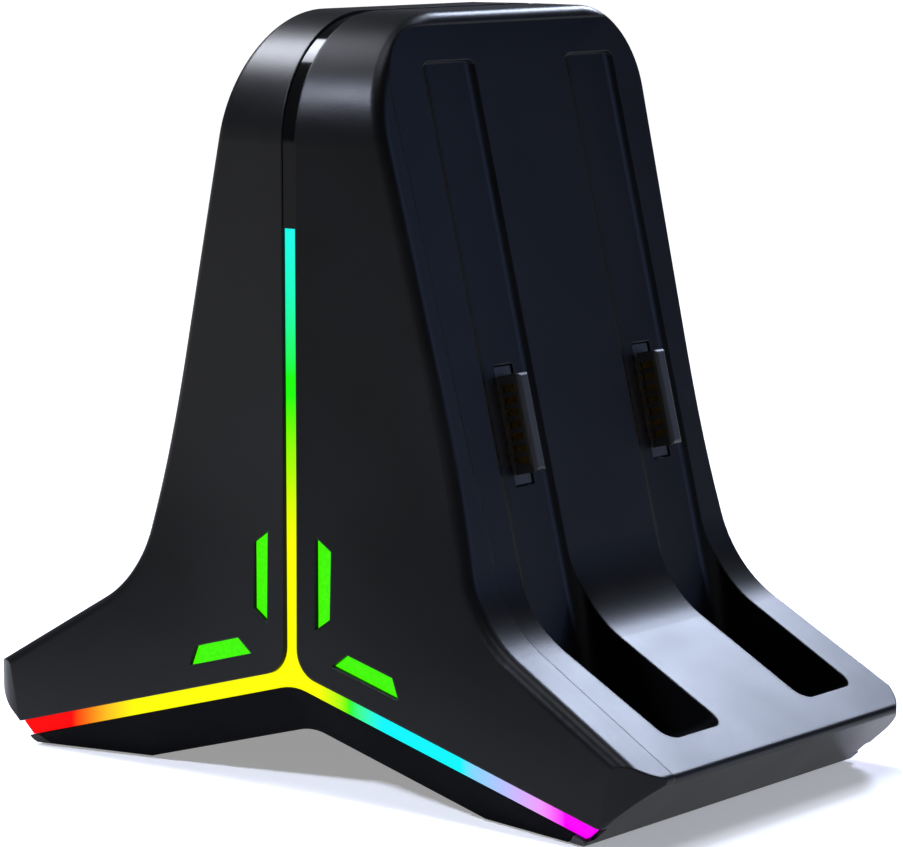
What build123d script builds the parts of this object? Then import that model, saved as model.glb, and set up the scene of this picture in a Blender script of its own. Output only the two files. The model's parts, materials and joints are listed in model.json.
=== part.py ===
"""Charging dock with four bays that stands on a table, sizes in millimetres.

X points to the right of someone in front of the dock, Y to the back and Z up. The origin lies on the table
below the middle of the dock. The left half mirrors the right half.
"""

import os
from math import cos, radians, sin, tan

from build123d import *

# Overall sizes
height = 128.5
width = 144.0
depth = 79.4
foot_proud = 0.5

# Outline of the tower seen from the front
top_width = 25.9
lean_angle = 13.85
ramp_angle = 30.0
end_angle = 41.5
tip_height = 11.8
bend_radius = 20.6
rim_radius = 2.2
front_shoulder = 20.9
back_shoulder = 14.6
tip_round = 1.0
tip_corner = 10.0

# Front and back faces, which lean back to the sides above the legs, by a distance at the tips
face_lean = 11.0
lean_low = 2.0
lean_high = 72.0

# Length by which cuts run past the faces that they open
overrun = 5.6

# Shell walls, the side wall counted from the outline to the inside
front_wall = 2.2
side_wall = 3.6
end_wall = 2.2

# Recessed panel behind the front rim, open at the back, with the width of the rim at three heights
panel_step = 0.9
panel_tip_step = 0.4
panel_top_margin = 6.7
panel_bend_margin = 10.4
panel_tip_margin = 8.4
panel_bend_height = 33.0
panel_drop = 2.0
panel_corner = 10.5

# Free space of a bay, which leans like the side wall, and the walls round it
bay_height = 116.0
bay_width = 36.0
bay_thick = 14.4
bay_bottom_round = 22.0
bay_top = 119.9
bay_gap = 0.4
bay_inset = 1.7
bay_round = 2.6
bay_heel = 3.0
front_bay_depth = 24.2
rear_bay_depth = 16.5
pocket_wall = 1.8
pocket_top = 40.0

# Light strips, front and back
strip_width = 2.75
strip_angle = 15.45
strip_height = 19.8
strip_recess = 0.9
strip_end = 0.7
trim_recess = 0.4
strip_corner = 5.2
apex_round = 10.0
lit_height = 93.9
fit_gap = 0.05
flange_lap = 1.3
flange_thick = 1.2

# Charge indicators
lens_gap = 3.8
lens_width = 3.0
lens_recess = 1.1
upper_long = 15.4
upper_short = 11.2
upper_height = 36.0
lower_long = 14.4
lower_short = 9.8
lower_along = 14.8
lens_lap = 0.8
lens_flange = 1.0

# Base pan
base_rise = 7.85
base_inset = 5.7
base_wall = 2.6
base_floor = 2.0
base_gap = 0.2

# Light boards and lamps
board_thick = 1.0
lamp_size = 2.4
lamp_height = 1.6
lamp_count = 8
lamp_low = 28.0
leg_lamp_count = 5
leg_lamp_start = 12.0
leg_lamp_pitch = 9.0
stem_half = 9.5
leg_below = 2.2
leg_above = 3.0
shelf_rise = 8.6
shelf_reach = 24.0
leg_end = 22.0
post_diameter = 4.0
post_low = 54.0
post_high = 86.0
post_reach = 6.4

# Main board and power socket
main_width = 48.0
main_front_gap = 17.7
main_back_gap = 7.7
main_thick = 1.6
main_height = 15.0
pillar_side = 4.0
pillar_front_side = 5.0
pillar_back_side = 12.0
pillar_diameter = 5.0
chip_size = 7.0
chip_height = 1.0
small_chip = 4.6
small_chip_x = 8.0
small_chip_y = 14.0
socket_width = 8.9
socket_height = 3.2
socket_length = 7.4
socket_sink = 4.3
socket_wall = 0.35
socket_gap = 0.15
tongue_width = 6.4
tongue_height = 0.8
tongue_sink = 1.0
plug_width = 11.2
plug_height = 6.4
plug_round = 2.4
plug_sink = 3.8
inlet_half = 8.0
inlet_thick = 4.8
inlet_top = 17.2

# Charging tongues, contact boards and magnets on the side walls
contact_height = 62.0
contact_inset = 8.0
contact_board_thick = 1.2
contact_board_rise = 26.0
contact_board_margin = 4.0
connector_length = 24.0
connector_width = 9.0
neck_length = 19.6
neck_width = 4.6
neck_sink = 0.3
blade_length = 16.4
blade_width = 2.8
blade_reach = 4.0
blade_round = 0.8
window_gap = 0.2
pad_count = 7
pad_pitch = 2.0
pad_width = 1.1
pad_length = 2.8
pad_thick = 0.15
magnet_length = 10.0
magnet_width = 6.0
magnet_thick = 2.0
magnet_low = 20.0
magnet_high = 40.0
side_post_spread = 9.0
side_post_along = 8.0

# Ribbon cables
ribbon_thick = 0.4
ribbon_width = 9.0
ribbon_bend = 5.0
ribbon_lap = 6.0
ribbon_rise = 12.0
ribbon_small_bend = 1.4

# Feet and screws
foot_width = 7.0
foot_length = 16.0
foot_sink = 0.8
foot_end = 29.0
foot_back = 19.7
foot_gap = 0.1
screw_end = 21.0
screw_front = 10.4
screw_inner_x = 34.0
screw_back = 11.7
boss_diameter = 6.5
pad_diameter = 7.5
boss_foot = 5.0
head_diameter = 4.6
head_height = 1.6
head_sink = 2.3
head_gap = 0.3
shank_diameter = 2.4
shank_length = 9.0
shank_gap = 0.05
small_head_diameter = 3.2
small_head_height = 1.0
small_shank_diameter = 1.6
small_shank_length = 2.4

half_depth = depth / 2
lean = radians(lean_angle)
ramp = radians(ramp_angle)
end = radians(end_angle)
slope = radians(strip_angle)
side_out = (cos(lean), sin(lean))
side_down = (sin(lean), -cos(lean))
reach = width / 2

# Places that follow the faces of the dock
front_bay_y = front_bay_depth - half_depth
rear_bay_y = half_depth - rear_bay_depth
mid_bay_y = (front_bay_y + rear_bay_y) / 2
leg_reach = reach - leg_end
main_front = main_front_gap - half_depth
main_back = half_depth - main_back_gap
pillar_x = main_width / 2 - pillar_side
pillar_front = main_front + pillar_front_side
pillar_back = main_back - pillar_back_side
socket_back = half_depth - socket_sink
socket_front = socket_back - socket_length
tongue_back = socket_back - tongue_sink
plug_back = half_depth - plug_sink
inlet_front = half_depth - inlet_thick
foot_x = reach - foot_end
foot_y = half_depth - foot_back
screw_spots = [
    (reach - screw_end, screw_front - half_depth),
    (reach - screw_end, mid_bay_y),
    (screw_inner_x, half_depth - screw_back),
]
pan_screw_spots = [(side * x, y) for side in (1, -1) for x, y in screw_spots]
pillar_spots = [(side * pillar_x, y) for side in (1, -1) for y in (pillar_front, pillar_back)]
side_posts = [(-side_post_spread, side_post_along), (side_post_spread, side_post_along)]
light_posts = [(side * post_reach, z) for side in (1, -1) for z in (post_low, post_high)]


def meet(first, first_way, second, second_way):
    """Point in the front view where two lines cross."""
    apart = (second[0] - first[0], second[1] - first[1])
    cross = first_way[0] * second_way[1] - first_way[1] * second_way[0]
    along = (apart[0] * second_way[1] - apart[1] * second_way[0]) / cross
    return (first[0] + along * first_way[0], first[1] + along * first_way[1])


def shifted(point, way, distance):
    """Point moved a distance along a direction in the front view."""
    return (point[0] + way[0] * distance, point[1] + way[1] * distance)


def side_point(inset, level):
    """Point on the leaning side line, moved inwards by an inset, at a height."""
    start = shifted((top_width / 2, height), side_out, -inset)
    return meet(start, side_down, (0, level), (1, 0))


def outline(side_inset, tip_inset, end_inset, low, high):
    """Corners of the right half outline, with each line moved inwards."""
    start = shifted((top_width / 2, height), side_out, -side_inset)
    tip_point = (reach, tip_height)
    ramp_out = (sin(ramp), cos(ramp))
    end_way = (cos(end), sin(end))
    bend_point = meet((top_width / 2, height), side_down, tip_point, (cos(ramp), -sin(ramp)))
    low_bend = shifted(bend_point, ramp_out, -side_inset)
    low_tip = shifted(tip_point, ramp_out, -tip_inset)
    ramp_way = (low_tip[0] - low_bend[0], low_tip[1] - low_bend[1])
    end_from = shifted(tip_point, (sin(end), -cos(end)), -end_inset)
    top = meet(start, side_down, (0, high), (1, 0))
    bend = meet(start, side_down, low_bend, ramp_way)
    tip = meet(low_bend, ramp_way, end_from, end_way)
    toe = meet(end_from, end_way, (0, low), (1, 0))
    return [(0, high), top, bend, tip, toe, (0, low)]


def half_face(side_inset, tip_inset, end_inset, low, high, tip_radius):
    """Face of the right half outline, with the bend rounded and the tip rounded if asked."""
    corners = outline(side_inset, tip_inset, end_inset, low, high)
    with BuildSketch(Plane.XZ) as sketch:
        with BuildLine():
            Polyline(*corners, close=True)
        make_face()
        fillet(sketch.vertices().sort_by_distance(corners[2])[0], bend_radius + side_inset)
        if tip_radius > 0:
            fillet(sketch.vertices().sort_by_distance(corners[3])[0], tip_radius)
    return sketch.sketch


def end_face(end_inset):
    """Face of both halves, bounded by the undercut ends alone."""
    right = outline(-overrun, -overrun, end_inset, -foot_proud, height)
    left = [(-x, z) for x, z in reversed(right)]
    with BuildSketch(Plane.XZ) as sketch:
        with BuildLine():
            Polyline(*right[1:5], *left[1:5], close=True)
        make_face()
    return sketch.sketch


def side_view(inset, low):
    """Side view of the tower above a height, with rounded shoulders, moved inwards."""
    with BuildSketch(Plane.YZ) as sketch:
        with Locations((0, height - inset)):
            Rectangle(depth - 2 * inset, height - inset - low, align=(Align.CENTER, Align.MAX))
        fillet(sketch.vertices().sort_by_distance((-half_depth, height))[0], front_shoulder - inset)
        fillet(sketch.vertices().sort_by_distance((half_depth, height))[0], back_shoulder - inset)
    return sketch.sketch


def leaning_view(distance, set_back, inset, low):
    """Side view at a distance from the middle, moved inwards, with its front and back set back above the legs."""
    wide = half_depth - inset
    narrow = wide - set_back
    top = height - inset
    front_round = front_shoulder - inset
    back_round = back_shoulder - inset
    middle = (lean_low + lean_high) / 2
    with BuildSketch(Plane.YZ.offset(distance)) as sketch:
        with BuildLine():
            Line((-wide, low), (-wide, lean_low))
            Bezier((-wide, lean_low), (-wide, middle), (-narrow, middle), (-narrow, lean_high))
            Line((-narrow, lean_high), (-narrow, top - front_round))
            CenterArc((front_round - narrow, top - front_round), front_round, 180, -90)
            Line((front_round - narrow, top), (narrow - back_round, top))
            CenterArc((narrow - back_round, top - back_round), back_round, 90, -90)
            Line((narrow, top - back_round), (narrow, lean_high))
            Bezier((narrow, lean_high), (narrow, middle), (wide, middle), (wide, lean_low))
            Line((wide, lean_low), (wide, low))
            Line((wide, low), (-wide, low))
        make_face()
    return sketch.sketch


def strip_line(distance, rise):
    """Height of a line that runs along the sloping leg of the strip, a rise above its middle."""
    return strip_height - distance * tan(slope) + rise / cos(slope)


def front_plane(inset):
    """Upright plane behind the front face, facing forwards."""
    return Plane.XZ.offset(half_depth - inset)


def strip_face(plane, grow, top):
    """Y-shaped face of the light strip, grown on all sides."""
    half = strip_width / 2 + grow
    corner = (half, strip_line(half, half))
    foot = (0, strip_line(0, -half))
    right = [(reach, strip_line(reach, -half)), (reach, strip_line(reach, half)), corner, (half, top)]
    left = [(-x, z) for x, z in reversed(right)]
    with BuildSketch(plane) as sketch:
        with BuildLine():
            Polyline(foot, *right, *left, close=True)
        make_face()
        fillet(sketch.vertices().sort_by_distance(corner)[0], strip_corner - grow)
        fillet(sketch.vertices().sort_by_distance((-corner[0], corner[1]))[0], strip_corner - grow)
        fillet(sketch.vertices().sort_by_distance(foot)[0], apex_round + grow)
    return sketch.sketch


def chevron_face(plane, top_drop, low_drop):
    """Band that follows the lower edge of the strip, between two drops below it."""
    half = strip_width / 2
    apex = (0, strip_line(0, -half) - top_drop)
    valley = (0, strip_line(0, -half) - low_drop)
    far = strip_line(reach, -half)
    with BuildSketch(plane) as sketch:
        with BuildLine():
            Polyline(
                apex,
                (reach, far - top_drop),
                (reach, far - low_drop),
                valley,
                (-reach, far - low_drop),
                (-reach, far - top_drop),
                close=True,
            )
        make_face()
        fillet(sketch.vertices().sort_by_distance(apex)[0], apex_round)
        fillet(sketch.vertices().sort_by_distance(valley)[0], apex_round)
    return sketch.sketch


def lens_face(plane, sideways, grow, upper):
    """Trapezium of a charge indicator on the right or left side, grown on all sides."""
    long_half = (upper_long if upper else lower_long) / 2
    short_half = (upper_short if upper else lower_short) / 2
    edge = strip_width / 2 + lens_gap
    if upper:
        middle = (edge, upper_height)
        away = (1, 0)
        along = (0, 1)
    else:
        along = (cos(slope), -sin(slope))
        away = (sin(slope), cos(slope))
        middle = shifted(shifted((0, strip_height), along, lower_along), away, edge)
    inner = shifted(middle, away, lens_width)
    corners = [
        shifted(middle, along, -long_half),
        shifted(middle, along, long_half),
        shifted(inner, along, short_half),
        shifted(inner, along, -short_half),
    ]
    with BuildSketch(plane) as sketch:
        with BuildLine():
            Polyline(*[(sideways * x, z) for x, z in corners], close=True)
        make_face()
        if grow != 0:
            offset(amount=grow, kind=Kind.INTERSECTION, mode=Mode.REPLACE)
    return sketch.sketch


def bay_face(y, grow):
    """Front view of the free space of a right bay, against the side wall, grown on all sides."""
    rail = side_point(bay_inset, bay_top)
    top_inner = shifted(shifted(rail, side_down, -grow), side_out, bay_gap - grow)
    low_inner = shifted(top_inner, side_down, bay_height + 2 * grow)
    span = bay_width - bay_gap + 2 * grow
    low_outer = shifted(low_inner, side_out, span)
    top_outer = shifted(top_inner, side_out, span)
    with BuildSketch(Plane.XZ.offset(-y)) as sketch:
        with BuildLine():
            Polyline(top_inner, low_inner, low_outer, top_outer, close=True)
        make_face()
        fillet(sketch.vertices().sort_by_distance(low_inner)[0], bay_heel + grow)
        fillet(sketch.vertices().sort_by_distance(low_outer)[0], bay_bottom_round + grow)
    return sketch.sketch


def wall_plane(inset, y):
    """Plane parallel to the right side wall, facing outwards, at the charging tongue of a bay."""
    x, z = side_point(0, contact_height)
    x, z = shifted((x, z), side_out, -inset)
    return Plane(origin=(x, y, z), x_dir=(0, 1, 0), z_dir=(side_out[0], 0, side_out[1]))


# Outer form of the right half, rounded all round the front and back rims and at the corners of its tip
with BuildPart() as leaning_form:
    loft([leaning_view(0, 0, 0, 0), leaning_view(reach, face_lean, 0, 0)], ruled=True)
with BuildPart() as half_body:
    extrude(half_face(0, 0, 0, foot_proud, height, 0), amount=half_depth, both=True)
    add(leaning_form.part, mode=Mode.INTERSECT)
    rim = half_body.edges().filter_by(
        lambda edge: edge.bounding_box().max.X > tip_round
        and edge.bounding_box().max.Z > tip_height + tip_round
        and edge.bounding_box().size.Y + edge.bounding_box().size.Z > edge.bounding_box().size.X
        and (edge.bounding_box().size.Z > tip_round or edge.bounding_box().min.Z > height - tip_round)
    )
    ramp_rim = half_body.edges().filter_by(
        lambda edge: edge.bounding_box().max.X > reach - fit_gap
        and edge.bounding_box().max.Z > tip_height + tip_round
        and edge.bounding_box().size.Z > tip_round
    )
    fillet(list(set(rim + ramp_rim)), rim_radius)
    tip_edges = half_body.edges().filter_by(
        lambda edge: edge.bounding_box().max.X > reach - fit_gap
        and edge.bounding_box().max.Z < tip_height + fit_gap
        and edge.bounding_box().size.Y > tip_round
    )
    fillet(tip_edges, tip_round)
    with BuildSketch(Plane.XY):
        RectangleRounded(width, depth, tip_corner)
    extrude(amount=height, mode=Mode.INTERSECT)

# Space above the recessed panel
with BuildPart() as panel_cut:
    panel_bend = (panel_bend_margin - half_depth, panel_bend_height)
    panel_top = (panel_top_margin - half_depth, height - panel_drop)
    extrude(
        half_face(-overrun, -overrun, -overrun, -overrun, height, 0),
        amount=depth,
        both=True,
    )
    extrude(
        half_face(panel_step, panel_tip_step, 0, -2 * overrun, height + overrun, tip_round),
        amount=2 * depth,
        both=True,
        mode=Mode.SUBTRACT,
    )
    with BuildSketch(Plane.YZ) as panel_view:
        with BuildLine():
            Polyline(
                (panel_tip_margin - half_depth, -2 * overrun),
                (panel_tip_margin - half_depth, tip_height),
                panel_bend,
                panel_top,
                (depth, height - panel_drop),
                (depth, -2 * overrun),
                close=True,
            )
        make_face()
        fillet(panel_view.vertices().sort_by_distance(panel_bend)[0], bend_radius)
        fillet(panel_view.vertices().sort_by_distance(panel_top)[0], panel_corner)
    extrude(amount=width, both=True, mode=Mode.INTERSECT)

# Free space of the front bay and of the rear bay
with BuildPart() as front_bay:
    extrude(bay_face(front_bay_y, bay_gap), amount=bay_thick / 2 + bay_gap, both=True)
    fillet(front_bay.edges().filter_by(Axis.Y, reverse=True), bay_round)
with BuildPart() as rear_bay:
    extrude(bay_face(rear_bay_y, bay_gap), amount=bay_thick / 2 + bay_gap, both=True)
    fillet(rear_bay.edges().filter_by(Axis.Y, reverse=True), bay_round)

# Inside of the right shell, less the pockets, screw bosses and posts that stand in it
with BuildPart() as leaning_inside:
    loft(
        [leaning_view(0, 0, front_wall, -overrun), leaning_view(reach, face_lean, front_wall, -overrun)],
        ruled=True,
    )
with BuildPart() as cavity:
    extrude(
        half_face(side_wall, side_wall, end_wall, -overrun, height + side_wall, 0),
        amount=half_depth - front_wall,
        both=True,
    )
    add(leaning_inside.part, mode=Mode.INTERSECT)
with BuildPart() as pockets:
    for bay_y in (front_bay_y, rear_bay_y):
        extrude(
            bay_face(bay_y, bay_gap + pocket_wall),
            amount=bay_thick / 2 + bay_gap + pocket_wall,
            both=True,
        )
    with Locations((0, 0, pocket_top)):
        Box(
            2 * width,
            2 * width,
            2 * height,
            align=(Align.CENTER, Align.CENTER, Align.MIN),
            mode=Mode.SUBTRACT,
        )
with BuildPart() as shell_posts:
    with Locations(*[(x, y, boss_foot) for x, y in screw_spots]):
        Cylinder(boss_diameter / 2, height, align=(Align.CENTER, Align.CENTER, Align.MIN))
    lamp_gap = front_wall + flange_thick + lamp_height
    for level in (post_low, post_high):
        for side, plane in ((1, front_plane(lamp_gap)), (-1, Plane.XZ.offset(lamp_gap - half_depth))):
            with BuildSketch(plane):
                with Locations((post_reach, level)):
                    Circle(post_diameter / 2)
            extrude(amount=side * lamp_gap)
    with BuildSketch(wall_plane(contact_inset, mid_bay_y)):
        with Locations(*side_posts):
            Circle(post_diameter / 2)
    extrude(amount=contact_inset)

# Wedge below the strip that the sloping walls of the base leave free
with BuildPart() as front_bevel:
    extrude(
        chevron_face(front_plane(0), 0, height),
        amount=(base_inset**2 + base_rise**2) ** 0.5,
        dir=(0, base_inset, -base_rise),
    )

# Front and back walls of the tower below the strip, where the base takes over
with BuildPart() as wall_cut:
    for side in (1, -1):
        flange_inside = Plane.XZ.offset(side * (half_depth - front_wall - flange_thick))
        extrude(chevron_face(flange_inside, -fit_gap, height), amount=side * overrun)
    extrude(end_face(end_wall), amount=width, both=True, mode=Mode.INTERSECT)

# Seats for the flanges of the light strips and of the trim behind the leaning walls
with BuildPart() as flange_room:
    extrude(
        strip_face(front_plane(front_wall - fit_gap), flange_lap + base_gap, lit_height),
        amount=-flange_thick - base_gap,
    )
    extrude(end_face(end_wall), amount=depth, both=True, mode=Mode.INTERSECT)
with BuildPart() as trim_room:
    extrude(
        side_view(front_wall - fit_gap, lit_height - base_gap),
        amount=strip_width / 2 + flange_lap + base_gap,
        both=True,
    )
    extrude(side_view(front_wall + flange_thick + base_gap, 0), amount=width, both=True, mode=Mode.SUBTRACT)

with BuildPart() as right_shell:
    add(half_body.part)
    add(panel_cut.part, mode=Mode.SUBTRACT)
    add(cavity.part - pockets.part - shell_posts.part, mode=Mode.SUBTRACT)
    add(front_bay.part, mode=Mode.SUBTRACT)
    add(rear_bay.part, mode=Mode.SUBTRACT)
    with Locations((0, 0, strip_height)):
        Box(
            strip_width,
            2 * depth,
            2 * height,
            align=(Align.CENTER, Align.CENTER, Align.MIN),
            mode=Mode.SUBTRACT,
        )
    for side in (1, -1):
        wall_inside = Plane.XZ.offset(side * (half_depth - front_wall))
        extrude(strip_face(wall_inside, 0, height), amount=side * overrun, mode=Mode.SUBTRACT)
    add(wall_cut.part, mode=Mode.SUBTRACT)
    add(front_bevel.part, mode=Mode.SUBTRACT)
    add(mirror(front_bevel.part, about=Plane.XZ), mode=Mode.SUBTRACT)
    add(flange_room.part, mode=Mode.SUBTRACT)
    add(mirror(flange_room.part, about=Plane.XZ), mode=Mode.SUBTRACT)
    add(trim_room.part, mode=Mode.SUBTRACT)
    for is_upper in (True, False):
        extrude(
            lens_face(front_plane(front_wall), 1, 0, is_upper),
            amount=overrun,
            mode=Mode.SUBTRACT,
        )
        extrude(
            lens_face(front_plane(front_wall - fit_gap), 1, lens_lap + base_gap, is_upper),
            amount=-lens_flange - base_gap,
            mode=Mode.SUBTRACT,
        )
    for bay_y in (front_bay_y, rear_bay_y):
        with BuildSketch(wall_plane(side_wall, bay_y)):
            Rectangle(neck_width + 2 * window_gap, neck_length + 2 * window_gap)
        extrude(amount=side_wall, mode=Mode.SUBTRACT)
    with Locations(*[(x, y, boss_foot) for x, y in screw_spots]):
        Cylinder(
            shank_diameter / 2 + shank_gap,
            shank_length,
            align=(Align.CENTER, Align.CENTER, Align.MIN),
            mode=Mode.SUBTRACT,
        )
    for side in (1, -1):
        with BuildSketch(Plane.XZ.offset(side * (half_depth - lamp_gap))):
            with Locations((post_reach, post_low), (post_reach, post_high)):
                Circle(small_shank_diameter / 2 + shank_gap)
        extrude(amount=side * small_shank_length, mode=Mode.SUBTRACT)
    with BuildSketch(wall_plane(contact_inset, mid_bay_y)):
        with Locations(*side_posts):
            Circle(small_shank_diameter / 2 + shank_gap)
    extrude(amount=small_shank_length, mode=Mode.SUBTRACT)

with BuildPart() as left_shell:
    add(mirror(right_shell.part, about=Plane.YZ))

# Base pan: a tray that follows the strip, open at the top and arched below the middle
with BuildPart() as pan_inside:
    extrude(
        chevron_face(Plane.XZ, -overrun, base_rise - base_floor),
        amount=half_depth - base_wall,
        both=True,
    )
    with Locations((0, 0, foot_proud + base_floor)):
        Box(
            2 * width,
            2 * depth,
            2 * height,
            align=(Align.CENTER, Align.CENTER, Align.MIN),
            mode=Mode.INTERSECT,
        )
    for side in (1, -1):
        extrude(
            chevron_face(Plane.XZ.offset(side * (half_depth - base_wall)), 0, height),
            amount=(base_inset**2 + base_rise**2) ** 0.5,
            dir=(0, side * base_inset, -base_rise),
            mode=Mode.SUBTRACT,
        )

with BuildPart() as pan_outside:
    extrude(chevron_face(Plane.XZ, 0, base_rise), amount=half_depth, both=True)
    add(front_bevel.part, mode=Mode.SUBTRACT)
    add(mirror(front_bevel.part, about=Plane.XZ), mode=Mode.SUBTRACT)
    with Locations((0, 0, foot_proud)):
        Box(
            2 * width,
            2 * depth,
            2 * height,
            align=(Align.CENTER, Align.CENTER, Align.MIN),
            mode=Mode.INTERSECT,
        )
    extrude(end_face(end_wall + base_gap), amount=depth, both=True, mode=Mode.INTERSECT)

with BuildPart() as pan_posts:
    with Locations(*[(x, y, foot_proud) for x, y in pan_screw_spots]):
        Cylinder(
            pad_diameter / 2,
            boss_foot - foot_proud,
            align=(Align.CENTER, Align.CENTER, Align.MIN),
        )
    with Locations(*[(x, y, main_height) for x, y in pillar_spots]):
        Cylinder(
            pillar_diameter / 2,
            main_height - foot_proud,
            align=(Align.CENTER, Align.CENTER, Align.MAX),
        )
    extrude(
        chevron_face(Plane.XZ, base_rise - fit_gap, height),
        amount=depth,
        both=True,
        mode=Mode.SUBTRACT,
    )

# Thick part of the rear wall round the power socket
with BuildPart() as inlet_block:
    with Locations((0, inlet_front, foot_proud)):
        Box(
            2 * inlet_half,
            depth,
            inlet_top - foot_proud,
            align=(Align.CENTER, Align.MIN, Align.MIN),
        )
    add(pan_outside.part, mode=Mode.INTERSECT)

# Light strips: a rib in the gap between the shells and a flange behind their walls
with BuildPart() as guide_rib:
    extrude(strip_face(front_plane(front_wall), -fit_gap, lit_height), amount=front_wall - strip_recess)
    extrude(end_face(strip_end), amount=depth, both=True, mode=Mode.INTERSECT)
with BuildPart() as guide_flange:
    extrude(strip_face(front_plane(front_wall), flange_lap, lit_height), amount=-flange_thick)
    extrude(end_face(end_wall + base_gap), amount=depth, both=True, mode=Mode.INTERSECT)
with BuildPart() as front_light_guide:
    add(guide_rib.part)
    add(guide_flange.part)
with BuildPart() as rear_light_guide:
    add(mirror(front_light_guide.part, about=Plane.XZ))

# Power socket in the back of the base
socket_mid = main_height - socket_height / 2
with BuildPart() as power_socket_shell:
    with BuildSketch(Plane.XZ.offset(-socket_back)):
        with Locations((0, socket_mid)):
            RectangleRounded(socket_width, socket_height, socket_height / 2 - socket_gap)
    extrude(amount=socket_back - socket_front)
    with BuildSketch(Plane.XZ.offset(-socket_back)):
        with Locations((0, socket_mid)):
            RectangleRounded(
                socket_width - 2 * socket_wall,
                socket_height - 2 * socket_wall,
                socket_height / 2 - socket_gap - socket_wall,
            )
    extrude(amount=socket_back - socket_front - socket_wall, mode=Mode.SUBTRACT)
with BuildPart() as power_socket_tongue:
    with Locations((0, socket_front + socket_wall, socket_mid)):
        Box(
            tongue_width,
            tongue_back - socket_front - socket_wall,
            tongue_height,
            align=(Align.CENTER, Align.MIN, Align.CENTER),
        )

with BuildPart() as base_pan:
    add(pan_outside.part)
    add(pan_inside.part, mode=Mode.SUBTRACT)
    add(pan_posts.part)
    add(inlet_block.part)
    add(flange_room.part, mode=Mode.SUBTRACT)
    add(mirror(flange_room.part, about=Plane.XZ), mode=Mode.SUBTRACT)
    with Locations(*[(x, y, foot_proud) for x, y in pan_screw_spots]):
        Cylinder(
            head_diameter / 2 + head_gap,
            2 * head_sink,
            mode=Mode.SUBTRACT,
        )
        Cylinder(
            shank_diameter / 2 + head_gap,
            2 * boss_foot,
            mode=Mode.SUBTRACT,
        )
    with BuildSketch(Plane((0, 0, foot_proud))):
        with GridLocations(2 * foot_x, 2 * foot_y, 2, 2):
            SlotOverall(foot_length + 2 * foot_gap, foot_width + 2 * foot_gap, rotation=90)
    extrude(amount=foot_sink, mode=Mode.SUBTRACT)
    with Locations(*[(x, y, main_height) for x, y in pillar_spots]):
        Cylinder(
            small_shank_diameter / 2 + shank_gap,
            2 * small_shank_length,
            mode=Mode.SUBTRACT,
        )
    with BuildSketch(Plane.XZ.offset(-depth)):
        with Locations((0, socket_mid)):
            RectangleRounded(plug_width, plug_height, plug_round)
    extrude(amount=depth - plug_back, mode=Mode.SUBTRACT)
    with BuildSketch(Plane.XZ.offset(-depth)):
        with Locations((0, socket_mid)):
            RectangleRounded(
                socket_width + 2 * socket_gap,
                socket_height + 2 * socket_gap,
                socket_height / 2,
            )
    extrude(amount=depth - socket_front + socket_gap, mode=Mode.SUBTRACT)

# Gloss trim that carries the groove of the upright leg over the top
with BuildPart() as trim_rib:
    extrude(side_view(trim_recess, lit_height), amount=strip_width / 2 - fit_gap, both=True)
    extrude(side_view(front_wall, 0), amount=width, both=True, mode=Mode.SUBTRACT)
with BuildPart() as trim_flange:
    extrude(side_view(front_wall, lit_height), amount=strip_width / 2 + flange_lap, both=True)
    extrude(side_view(front_wall + flange_thick, 0), amount=width, both=True, mode=Mode.SUBTRACT)
with BuildPart() as top_trim:
    add(trim_rib.part)
    add(trim_flange.part)

# Charge indicator lenses
with BuildPart() as right_upper_lens:
    extrude(lens_face(front_plane(front_wall), 1, -fit_gap, True), amount=front_wall - lens_recess)
    extrude(lens_face(front_plane(front_wall), 1, lens_lap, True), amount=-lens_flange)
with BuildPart() as right_lower_lens:
    extrude(lens_face(front_plane(front_wall), 1, -fit_gap, False), amount=front_wall - lens_recess)
    extrude(lens_face(front_plane(front_wall), 1, lens_lap, False), amount=-lens_flange)
with BuildPart() as left_upper_lens:
    add(mirror(right_upper_lens.part, about=Plane.YZ))
with BuildPart() as left_lower_lens:
    add(mirror(right_lower_lens.part, about=Plane.YZ))

# Light boards behind the strips, with their lamps
with BuildPart() as front_light_board:
    board_right = [
        (0, strip_line(0, -leg_below)),
        (leg_reach, strip_line(leg_reach, -leg_below)),
        (leg_reach, strip_line(leg_reach, leg_above)),
        (shelf_reach, strip_line(shelf_reach, leg_above)),
        (shelf_reach, strip_line(shelf_reach, shelf_rise)),
        (stem_half, strip_line(stem_half, shelf_rise)),
        (stem_half, lit_height - lamp_size),
    ]
    board_left = [(-x, z) for x, z in reversed(board_right[1:])]
    with BuildSketch(front_plane(lamp_gap)):
        with BuildLine():
            Polyline(*board_right, *board_left, close=True)
        make_face()
        with Locations(*light_posts):
            Circle(small_shank_diameter / 2 + shank_gap, mode=Mode.SUBTRACT)
    extrude(amount=-board_thick)
with BuildPart() as rear_light_board:
    add(mirror(front_light_board.part, about=Plane.XZ))

with BuildPart() as front_lamps:
    lamp_pitch = (lit_height - 2 * lamp_size - lamp_low) / (lamp_count - 1)
    lamp_spots = [Location((0, lamp_low + lamp_pitch * step)) for step in range(lamp_count)]
    for side in (1, -1):
        for step in range(leg_lamp_count):
            run = leg_lamp_start + leg_lamp_pitch * step
            spot = shifted((0, strip_height), (side * cos(slope), -sin(slope)), run)
            lamp_spots.append(Location((*spot, 0), (0, 0, -side * strip_angle)))
    with BuildSketch(front_plane(lamp_gap)):
        with Locations(*lamp_spots):
            Rectangle(lamp_size, lamp_size)
    extrude(amount=lamp_height)
with BuildPart() as rear_lamps:
    add(mirror(front_lamps.part, about=Plane.XZ))

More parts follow.
